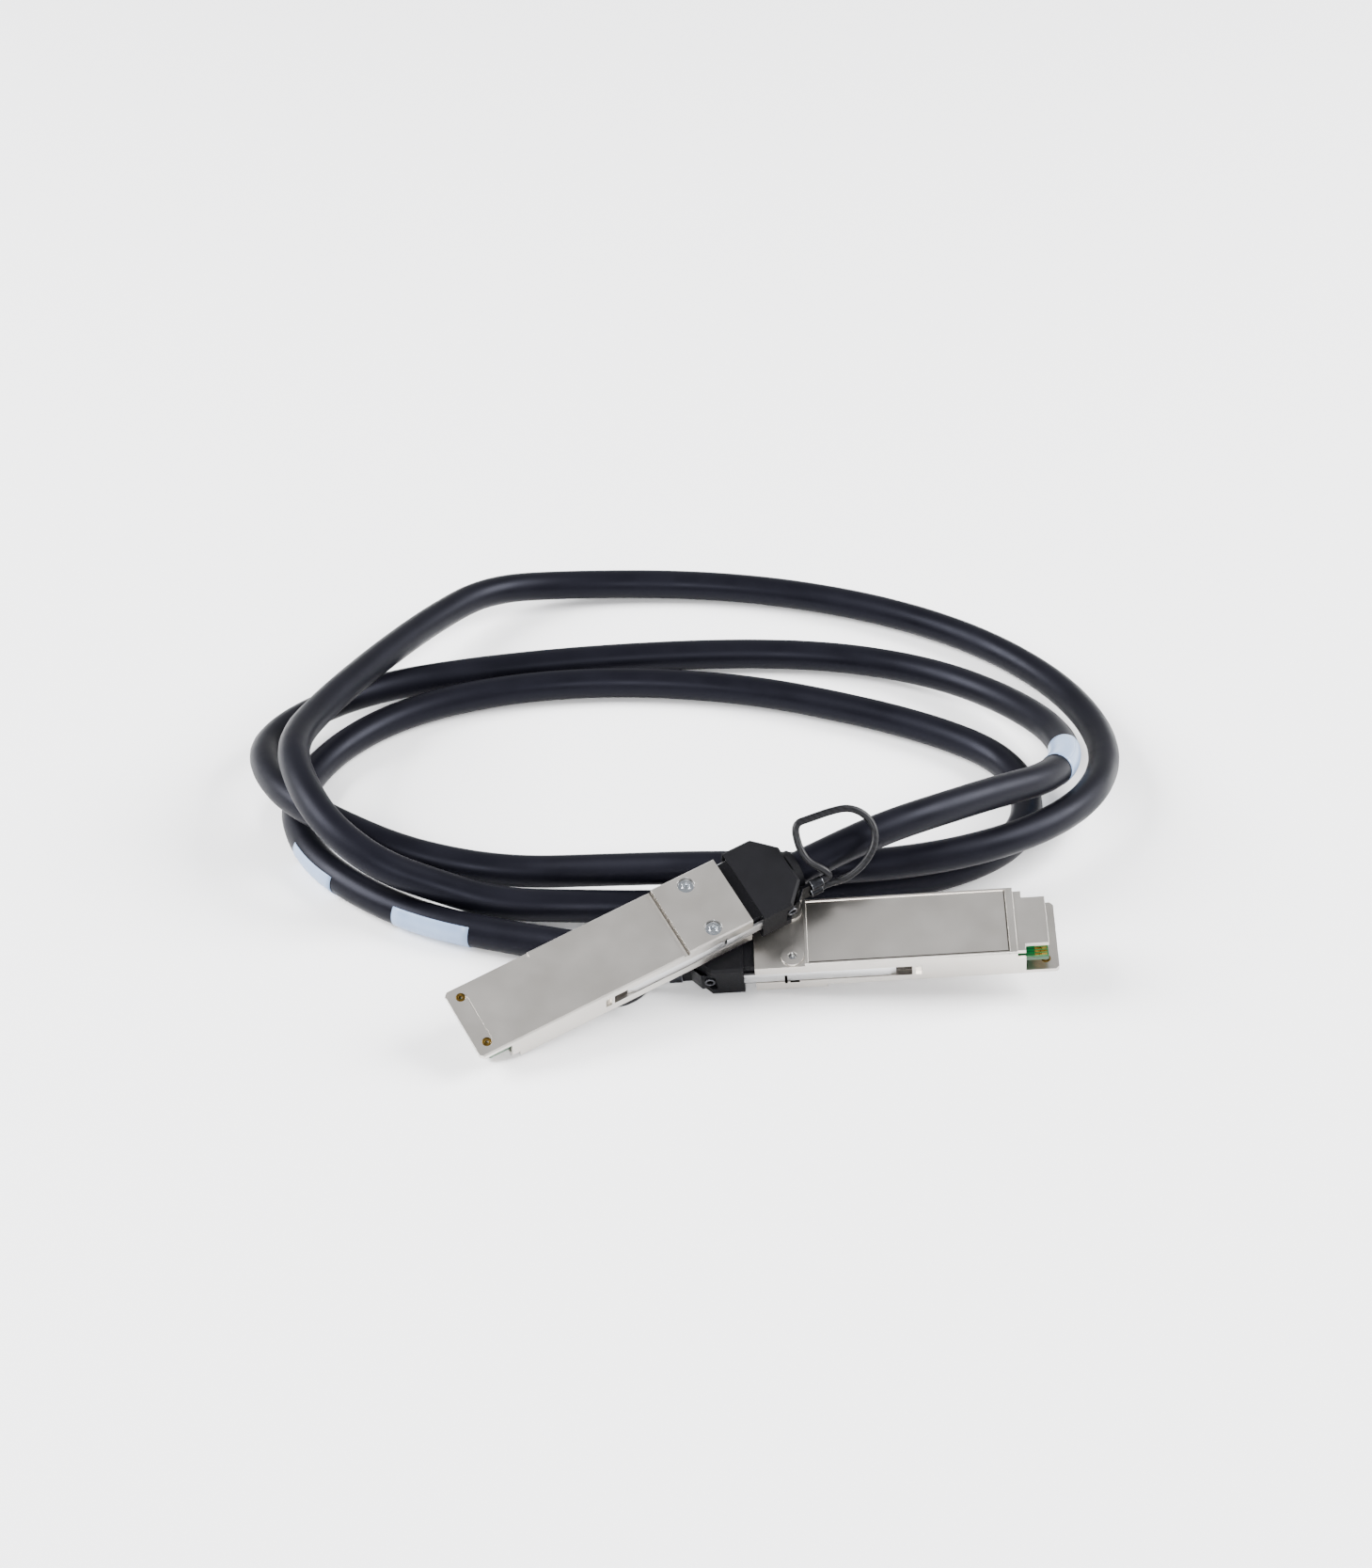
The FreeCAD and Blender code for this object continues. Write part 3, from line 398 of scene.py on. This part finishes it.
shade = add_node(tree, "ShaderNodeMath", {"operation": "MAXIMUM"}, (),
                 {0: in_panel.outputs["Value"], 1: in_groove.outputs["Value"]})
# The painted shade: a dark grey mixed into the plate colour along these lines, where shade falls in the
# corners.
add_node(tree, "ShaderNodeMix", {"data_type": "RGBA"}, {7: linear("#5e5a55")},
         {"Factor": shade.outputs["Value"], 6: plate.outputs[2]}, {2: shader["Base Color"]})
add_node(tree, "ShaderNodeMapRange", (), {**noise_span, "To Min": 0.28, "To Max": 0.33},
         {"Value": cloud.outputs["Fac"]}, {"Result": shader["Roughness"]})
add_node(tree, "ShaderNodeBump", (), {"Strength": 0.06, "Distance": 0.02 * mm},
         {"Height": grain.outputs["Fac"]}, {"Normal": shader["Normal"]})

# Rubbed nickel: the same plating on the eased edges, smoother and a shade brighter.
rubbed = mottled("rubbed_nickel_edge", 1.2 * mm, 3, ("#c6c2bc", "#dcd9d4"), (0.22, 0.29), Metallic=1)[0]

# Pocket shade: dull dark metal at the bottom of the narrow pockets, a painted shade for the shadow deep
# inside them.
pocket_shade = mottled("painted_pocket_shade", 0.8 * mm, 2, ("#121110", "#3a3734"), (0.45, 0.6), Metallic=1)[0]
for tag in "ab":
    eased_copy("plug_%s_base_shell" % tag, "cable_assembly", shell_ease, 2,
               (nickel, pocket_shade, rubbed), deep_pocket)
    eased_copy("plug_%s_lid_shell" % tag, "cable_assembly", lid_ease, 2, (nickel,))


# Shell screws: two small machine screws with six-lobed sockets hold the base to the lid.
# They are turned steel, zinc plated, and their heads lie sunk in the raised block.
screw_sizes = {"Head radius": 1.9 * mm, "Head height": 1.1 * mm, "Shank radius": 0.95 * mm,
               "Shank length": 6.5 * mm, "Socket radius": 1.0 * mm, "Socket inner": 0.72 * mm,
               "Socket depth": 0.7 * mm, "Spacing": Vector((0, 12.5, 0)) * mm}
screw_seat = Vector((8.7, -6.25, 3.35)) * mm
screw_ease = 0.12 * mm
screw_turn = math.radians(40)
socket_weld = 0.001 * mm
cutter_rise = 0.05 * mm


def start_tree(name, sizes):
    """A geometry tree with one named input for each size, and the sockets that give them."""
    tree = bpy.data.node_groups.new(name, "GeometryNodeTree")
    tree.interface.new_socket("Mesh", in_out="OUTPUT", socket_type="NodeSocketGeometry")
    for label, value in sizes.items():
        kind = "NodeSocketVector" if isinstance(value, Vector) else "NodeSocketFloat"
        tree.interface.new_socket(label, in_out="INPUT", socket_type=kind)
    return tree, add_node(tree, "NodeGroupInput").outputs


def raised(tree, piece, height):
    """A piece of a tree, moved along z by a height that the tree works out."""
    way = add_node(tree, "ShaderNodeCombineXYZ", (), (), {"Z": height})
    return add_node(tree, "GeometryNodeTransform", (), (),
                    {"Geometry": piece, "Translation": way.outputs["Vector"]}).outputs["Geometry"]


def close_tree(tree, piece, spacing, material):
    """Ends a tree: two copies of the piece, a spacing apart, made real and given their material."""
    pair = add_node(tree, "GeometryNodeMeshLine", {"mode": "OFFSET"}, {"Count": 2}, {"Offset": spacing})
    copies = add_node(tree, "GeometryNodeInstanceOnPoints", (), (),
                      {"Points": pair.outputs["Mesh"], "Instance": piece})
    real = add_node(tree, "GeometryNodeRealizeInstances", (), (), {"Geometry": copies.outputs["Instances"]})
    coated = add_node(tree, "GeometryNodeSetMaterial", (), {"Material": material},
                      {"Geometry": real.outputs["Geometry"]})
    add_node(tree, "NodeGroupOutput", (), (), {"Mesh": coated.outputs["Geometry"]})


def grown(name, tree, sizes, place):
    """The plain mesh that a tree gives for its sizes, moved to its place."""
    carrier = bpy.data.objects.new(name, bpy.data.meshes.new(name))
    bpy.context.scene.collection.objects.link(carrier)
    modifier = carrier.modifiers.new("tree", "NODES")
    modifier.node_group = tree
    for socket in tree.interface.items_tree:
        if socket.in_out == "INPUT":
            modifier[socket.identifier] = sizes[socket.name]
    bpy.context.view_layer.update()
    data = bpy.data.meshes.new_from_object(carrier.evaluated_get(bpy.context.evaluated_depsgraph_get()))
    carrier.modifiers.remove(modifier)
    bpy.data.objects.remove(carrier)
    data.transform(place)
    return data


# Zinc-plated steel: cool bright metal with a thin bluish haze.
zinc = mottled("zinc_plated_steel", 0.8 * mm, 3, ("#8c9298", "#bcc0c5"), (0.2, 0.32), Metallic=1)[0]

# The socket is a filled star, pushed through into a cutter that is taken out of the head.
tree, given = start_tree("socket_screw", screw_sizes)
lobes = add_node(tree, "GeometryNodeCurveStar", (), {"Points": 6},
                 {"Outer Radius": given["Socket radius"], "Inner Radius": given["Socket inner"]})
mouth = add_node(tree, "GeometryNodeFillCurve", (), (), {"Curve": lobes.outputs["Curve"]})
bore = add_node(tree, "GeometryNodeExtrudeMesh", (), {"Individual": False},
                {"Mesh": mouth.outputs["Mesh"], "Offset Scale": given["Socket depth"]})
bottom = add_node(tree, "GeometryNodeFlipFaces", (), (), {"Mesh": mouth.outputs["Mesh"]})
cutter = add_node(tree, "GeometryNodeJoinGeometry")
for source in (bore, bottom):
    tree.links.new(source.outputs["Mesh"], cutter.inputs["Geometry"])
sealed = add_node(tree, "GeometryNodeMergeByDistance", (), {"Distance": socket_weld},
                  {"Geometry": cutter.outputs["Geometry"]})
socket_floor = add_node(tree, "ShaderNodeMath", {"operation": "SUBTRACT"}, (),
                        {0: given["Head height"], 1: given["Socket depth"]})
above_floor = add_node(tree, "ShaderNodeMath", {"operation": "ADD"}, {1: cutter_rise},
                       {0: socket_floor.outputs[0]})
cutter_set = raised(tree, sealed.outputs["Geometry"], above_floor.outputs[0])
head = add_node(tree, "GeometryNodeMeshCylinder", (), {"Vertices": 48},
                {"Radius": given["Head radius"], "Depth": given["Head height"]})
half_head = add_node(tree, "ShaderNodeMath", {"operation": "MULTIPLY"}, {1: 0.5},
                     {0: given["Head height"]})
head_set = raised(tree, head.outputs["Mesh"], half_head.outputs[0])
socketed = add_node(tree, "GeometryNodeMeshBoolean", {"operation": "DIFFERENCE"}, (),
                    {"Mesh 1": head_set, "Mesh 2": cutter_set})
shank = add_node(tree, "GeometryNodeMeshCylinder", (), {"Vertices": 32},
                 {"Radius": given["Shank radius"], "Depth": given["Shank length"]})
half_shank = add_node(tree, "ShaderNodeMath", {"operation": "MULTIPLY"}, {1: -0.5},
                      {0: given["Shank length"]})
shank_set = raised(tree, shank.outputs["Mesh"], half_shank.outputs[0])
screw = add_node(tree, "GeometryNodeJoinGeometry")
for source in (socketed.outputs["Mesh"], shank_set):
    tree.links.new(source, screw.inputs["Geometry"])
close_tree(tree, screw.outputs["Geometry"], given["Spacing"], zinc)
for tag in "ab":
    data = grown("plug_%s_screws" % tag, tree, screw_sizes, plug_frame[tag] @ Matrix.Translation(screw_seat))
    item = show("plug_%s_screws" % tag, data, "cable_assembly")
    edge = item.modifiers.new("turned_edges", "BEVEL")
    edge.width = screw_ease
    edge.segments = 2
    edge.limit_method = "ANGLE"
    edge.angle_limit = screw_turn
    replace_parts(item, "plug_%s_shell_screws" % tag)


# Nose eyelets and ear rivets: short rings of drawn brass, and tubular steel rivets with rolled heads.
# The eyelets are pressed into the nose plate, and the rivets hold the ears of the latch slide.
eyelet_sizes = {"Middle radius": 0.73 * mm, "Wall": 0.68 * mm, "Height": 1.46 * mm, "Roll": 0.14 * mm,
                "Spacing": Vector((0, 12.5, 0)) * mm}
eyelet_seat = Vector((66.1, -6.25, 3.58)) * mm
rivet_sizes = {"Middle radius": 1.0 * mm, "Wall": 0.4 * mm, "Height": 0.9 * mm, "Roll": 0.15 * mm,
               "Spacing": Vector((0, 0, 18.1)) * mm}
rivet_seat = Vector((-10.4, 9.05, 0.3)) * mm


def ring_tree(name, sizes, material):
    """A tree for a pair of rings with a rolled section, each about its own z axis."""
    tree, given = start_tree(name, sizes)
    path = add_node(tree, "GeometryNodeCurvePrimitiveCircle", (), {"Resolution": 40},
                    {"Radius": given["Middle radius"]})
    section = add_node(tree, "GeometryNodeCurvePrimitiveQuadrilateral", (), (),
                       {"Width": given["Wall"], "Height": given["Height"]})
    soft = add_node(tree, "GeometryNodeFilletCurve", {"mode": "POLY"}, {"Count": 4, "Limit Radius": True},
                    {"Curve": section.outputs["Curve"], "Radius": given["Roll"]})
    ring = add_node(tree, "GeometryNodeCurveToMesh", (), (),
                    {"Curve": path.outputs["Curve"], "Profile Curve": soft.outputs["Curve"]})
    smooth = add_node(tree, "GeometryNodeSetShadeSmooth", (), (), {"Geometry": ring.outputs["Mesh"]})
    close_tree(tree, smooth.outputs["Geometry"], given["Spacing"], material)
    return tree


# Drawn brass: yellow-brown metal, darkened by tarnish.
brass = mottled("drawn_brass", 0.7 * mm, 3, ("#2a1f0c", "#6b5527"), (0.34, 0.48), Metallic=1)[0]

# Blackened steel: dark metal with a dull oil finish, worn a little lighter in places.
blackened = mottled("blackened_steel_rivet", 0.5 * mm, 2, ("#232326", "#6c6d72"), (0.3, 0.42), Metallic=1)[0]
eyelets = ring_tree("rolled_eyelet", eyelet_sizes, brass)
rivets = ring_tree("rolled_rivet", rivet_sizes, blackened)
to_side = Matrix.Rotation(math.radians(90), 4, "X")
for tag in "ab":
    at_eyelets = plug_frame[tag] @ Matrix.Translation(eyelet_seat)
    data = grown("plug_%s_eyelet_rings" % tag, eyelets, eyelet_sizes, at_eyelets)
    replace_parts(show(data.name, data, "cable_assembly"), "plug_%s_nose_eyelets" % tag)
    at_rivets = plug_frame[tag] @ Matrix.Translation(rivet_seat) @ to_side
    data = grown("plug_%s_rivet_rings" % tag, rivets, rivet_sizes, at_rivets)
    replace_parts(show(data.name, data, "slide_" + tag), "plug_%s_ear_rivets" % tag)


# Latch slide and spring: a folded stainless sheet runs in the shell's grooves, and a leaf brings it back.
# The rear of the slide, with its ears and tab, is dipped in black lacquer where it leaves the hood.
sheet_ease = 0.09 * mm
spring_ease = 0.03 * mm
dip_line = -6.2 * mm

# Rolled stainless sheet: bright, with faint lines from the mill along it, and black behind the dip line.
stainless, tree, shader = new_material("rolled_stainless_sheet", Metallic=1)
in_plug = add_node(tree, "ShaderNodeAttribute", {"attribute_name": "in_plug"})
drawn_out = add_node(tree, "ShaderNodeMapping", (), {"Scale": (0.06, 1, 1)},
                     {"Vector": in_plug.outputs["Vector"]})
mill = add_node(tree, "ShaderNodeTexNoise", (), {"Scale": 1 / (0.3 * mm), "Detail": 2},
                {"Vector": drawn_out.outputs["Vector"]})
bright = add_node(tree, "ShaderNodeMix", {"data_type": "RGBA"},
                  {6: linear("#bcbcbd"), 7: linear("#cfcfcf")}, {"Factor": mill.outputs["Fac"]})
axes = add_node(tree, "ShaderNodeSeparateXYZ", (), (), {"Vector": in_plug.outputs["Vector"]})
behind = add_node(tree, "ShaderNodeMath", {"operation": "LESS_THAN"}, {1: dip_line}, {0: axes.outputs["X"]})
add_node(tree, "ShaderNodeMix", {"data_type": "RGBA"}, {7: linear("#17171a")},
         {"Factor": behind.outputs["Value"], 6: bright.outputs[2]}, {2: shader["Base Color"]})
add_node(tree, "ShaderNodeMapRange", (), {**noise_span, "To Min": 0.26, "To Max": 0.36},
         {"Value": mill.outputs["Fac"]}, {"Result": shader["Roughness"]})
for tag in "ab":
    eased_copy("plug_%s_latch_slide" % tag, "slide_" + tag, sheet_ease, 2, (stainless,))
    leaf = eased_copy("plug_%s_return_spring" % tag, "cable_assembly", spring_ease, 1,
                      (stainless,))
    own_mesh(leaf)


# Lanyard crimps: two short sleeves on the slide's tab, pressed shut on the ends of the lanyard.
# They are aluminium under a dark coat, and the tool has rubbed their edges bare.
crimp_ease = 0.12 * mm

# Dark coat: grey-black and dull, with dents from the crimping tool.
coated, tree, shader, dents = mottled("dark_coated_aluminium", 0.6 * mm, 2, ("#141416", "#303135"),
                                      (0.36, 0.5), Metallic=1)
add_node(tree, "ShaderNodeBump", (), {"Strength": 0.4, "Distance": 0.05 * mm},
         {"Height": dents}, {"Normal": shader["Normal"]})

# Bare aluminium: pale and a little dull, on the rubbed edges.
bare = mottled("rubbed_aluminium_edge", 0.5 * mm, 2, ("#4c4e52", "#8d8f93"), (0.3, 0.42), Metallic=1)[0]
for tag in "ab":
    eased_copy("plug_%s_lanyard_crimps" % tag, "slide_" + tag, crimp_ease, 2,
               (coated, bare))


# Backshell: the angular hood behind the metal shell, moulded in glass-filled black nylon.
# It closes over the ferrule and the cable's end, and its matt skin comes from a spark-eroded mould.
hood_ease = 0.22 * mm

# Moulded nylon: black and matt, with a fine spark-eroded grain and slow changes of shade.
nylon, tree, shader = new_material("moulded_black_nylon", Specular_IOR_Level=0.12)
place = add_node(tree, "ShaderNodeTexCoord")
spark = add_node(tree, "ShaderNodeTexNoise", (), {"Scale": 1 / (0.3 * mm), "Detail": 3},
                 {"Vector": place.outputs["Object"]})
flow = add_node(tree, "ShaderNodeTexNoise", (), {"Scale": 1 / (5 * mm), "Detail": 2},
                {"Vector": place.outputs["Object"]})
add_node(tree, "ShaderNodeMix", {"data_type": "RGBA"}, {6: linear("#040406"), 7: linear("#0a0a0e")},
         {"Factor": flow.outputs["Fac"]}, {2: shader["Base Color"]})
add_node(tree, "ShaderNodeMapRange", (), {**noise_span, "To Min": 0.5, "To Max": 0.66},
         {"Value": spark.outputs["Fac"]}, {"Result": shader["Roughness"]})
add_node(tree, "ShaderNodeBump", (), {"Strength": 0.25, "Distance": 0.03 * mm},
         {"Height": spark.outputs["Fac"]}, {"Normal": shader["Normal"]})
for tag in "ab":
    eased_copy("plug_%s_backshell" % tag, "cable_assembly", hood_ease, 3, (nylon,))


# Lanyards: a thin wire rope in a black plastic coat, looped for a finger, that pulls the latch slide.
# Each end is pressed into a crimp. One loop stands up beside its plug, and the other lies under it.
lanyard_radius = 0.85 * mm
# In the plug's millimetres: the rope's ends along the crimps, their two levels, and the loop between them.
lanyard_ends = ((-16.85, 6.3), (-21.8, 6.3))
lanyard_levels = (1.8, -0.9)
lanyard_routes = {
    "a": [(-21.9, 5.9, 2.9), (-20.9, 4.6, 3.9), (-18.6, 2.0, 4.9), (-18.3, -1.8, 6.2), (-19.6, -6.4, 8.7),
          (-23.6, -5.9, 8.6), (-29.0, -5.1, 8.9), (-33.2, -4.0, 8.5), (-36.0, -1.2, 6.9), (-36.4, 2.4, 5.2),
          (-34.2, 5.6, 3.8), (-30.2, 7.6, 2.4), (-26.4, 7.9, 0.8), (-23.7, 7.1, -0.5)],
    "b": [(-26.0, 6.1, 1.4), (-30.8, 6.4, 0.9), (-35.4, 7.5, 0.3), (-38.2, 10.4, -0.9), (-37.0, 14.2, -2.2),
          (-32.8, 16.0, -2.9), (-28.2, 15.0, -2.7), (-25.0, 11.9, -2.1), (-23.4, 8.8, -1.4)],
}
strand_pitch = 1.0 * mm

# Coated rope: black nylon, satin, with the strands just showing through the coat.
coat, tree, shader = new_material("nylon_coated_rope", Specular_IOR_Level=0.18)
place = add_node(tree, "ShaderNodeTexCoord")
strands = add_node(tree, "ShaderNodeTexWave", {"bands_direction": "DIAGONAL"},
                   {"Scale": math.pi / (10 * strand_pitch), "Distortion": 1},
                   {"Vector": place.outputs["Object"]})
add_node(tree, "ShaderNodeMix", {"data_type": "RGBA"}, {6: linear("#08080a"), 7: linear("#111115")},
         {"Factor": strands.outputs["Fac"]}, {2: shader["Base Color"]})
add_node(tree, "ShaderNodeMapRange", (), {"To Min": 0.36, "To Max": 0.46},
         {"Value": strands.outputs["Fac"]}, {"Result": shader["Roughness"]})
add_node(tree, "ShaderNodeBump", (), {"Strength": 0.15, "Distance": 0.04 * mm},
         {"Height": strands.outputs["Fac"]}, {"Normal": shader["Normal"]})
for tag in "ab":
    out = [(x, y, lanyard_levels[0]) for x, y in lanyard_ends]
    back = [(x, y, lanyard_levels[1]) for x, y in reversed(lanyard_ends)]
    points = [plug_frame[tag] @ (Vector(point) * mm) for point in out + lanyard_routes[tag] + back]
    curve = round_line("plug_%s_pull_loop" % tag, points, lanyard_radius)
    curve.materials.append(coat)
    loop = show("plug_%s_pull_loop" % tag, curve, "slide_" + tag)
    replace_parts(loop, "plug_%s_lanyard" % tag)


# The studio: a pale sweep of paper, a large soft light at each side, and a small light beside the camera
# for the sheen on the cable. Nothing stands overhead, where the flat plates would mirror it.
floor_reach = 4
floor_corners = [(floor_reach * x, floor_reach * y, 0) for x, y in ((-1, -1), (1, -1), (1, 1), (-1, 1))]
floor_mesh = bpy.data.meshes.new("studio_floor")
floor_mesh.from_pydata(floor_corners, [], [(0, 1, 2, 3)])
floor = bpy.data.objects.new("studio_floor", floor_mesh)
bpy.context.scene.collection.objects.link(floor)
paper, tree, shader = new_material("white_backdrop_paper", Base_Color=linear("#f7f7f8"), Roughness=0.9)
floor_mesh.materials.append(paper)

for name, place, width, power, aim in (
        ("left_softbox", (-1.4, 0.15, 1.0), 1.0, 100, (0, 0.05, 0)),
        ("right_softbox", (1.4, 0.25, 1.0), 1.0, 100, (0, 0.05, 0)),
        ("front_fill", (-0.1, -1.45, 0.98), 0.32, 30, (0, 0, 0))):
    lamp = bpy.data.lights.new(name, "AREA")
    lamp.shape = "SQUARE"
    lamp.size = width
    lamp.energy = power
    light = bpy.data.objects.new(name, lamp)
    light.location = place
    light.rotation_euler = (Vector(aim) - Vector(place)).to_track_quat("-Z", "Y").to_euler()
    bpy.context.scene.collection.objects.link(light)
world = bpy.data.worlds.new("studio_air")
world.use_nodes = True
world.node_tree.nodes["Background"].inputs["Color"].default_value = linear("#f4f5f8")
world.node_tree.nodes["Background"].inputs["Strength"].default_value = 0.8
bpy.context.scene.world = world

# The camera stands 33 degrees above the table, with the lens that the picture's perspective gives.
camera_stand = Vector((0, -639.1, 415.0)) * mm
lens = bpy.data.cameras.new("photo_camera")
lens.sensor_width = 36
lens.lens = 69.1
camera = bpy.data.objects.new("photo_camera", lens)
camera.location = coil_middle + camera_stand
camera.rotation_euler = (coil_middle - camera.location).to_track_quat("-Z", "Y").to_euler()
bpy.context.scene.collection.objects.link(camera)
bpy.context.scene.camera = camera
